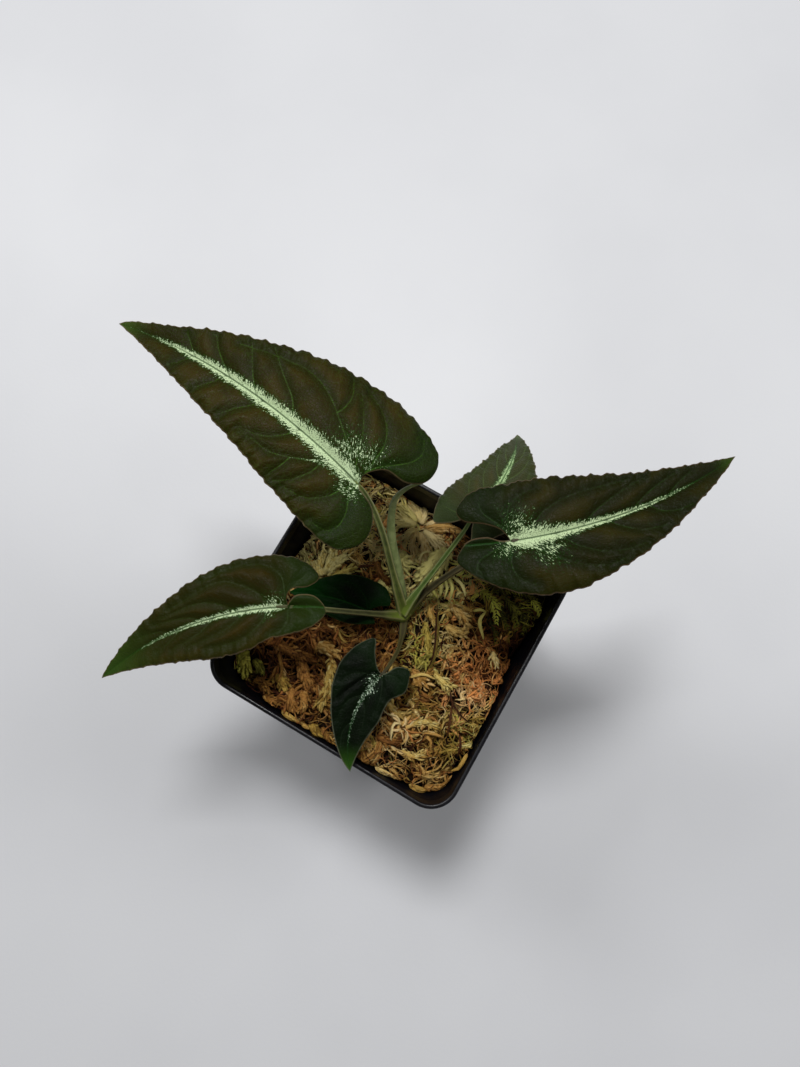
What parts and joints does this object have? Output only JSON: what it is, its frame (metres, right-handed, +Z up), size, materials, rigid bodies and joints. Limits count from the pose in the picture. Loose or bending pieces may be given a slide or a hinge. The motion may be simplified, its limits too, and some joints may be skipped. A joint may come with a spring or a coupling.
{
  "type": "potted syngonium rayii",
  "caption": "Small arrow-leaved foliage plant with silver-striped dark leaves on arching stalks, rooted in sphagnum moss in a square tapered pot.",
  "frame": {"origin": "centre of the pot's flat underside, which rests on the surface", "axes": "+Z up, the way the plant grows; X and Y along the sides of the square pot, with the largest leaf reaching towards -X and the second towards +X +Y"},
  "size_m": [0.1801, 0.1518, 0.1321],
  "materials": {
    "pot_plastic": "black, satin",
    "moss": "damp fibrous, tan with green, rust and cream patches",
    "stem_green": "satin olive green",
    "stalk_green": "satin green to olive brown",
    "new_leaf_green": "satin grey green",
    "leaf_dark": "velvety dark olive brown with a pale mint stripe along the rib",
    "leaf_green": "satin dark green"
  },
  "bodies": {
    "root": {"pot": "pot_plastic", "sphagnum_moss": "moss", "stem_with_roots": "stem_green", "new_leaf": "new_leaf_green", "petiole_a": "stalk_green", "petiole_b": "stalk_green", "petiole_c": "stalk_green", "petiole_d": "stalk_green", "petiole_e": "stalk_green", "petiole_f": "stalk_green", "leaf_a": "leaf_dark", "leaf_b": "leaf_dark", "leaf_c": "leaf_dark", "leaf_d": "leaf_dark", "leaf_e": "leaf_green", "leaf_f": "leaf_dark"}
  },
  "joints": []
}
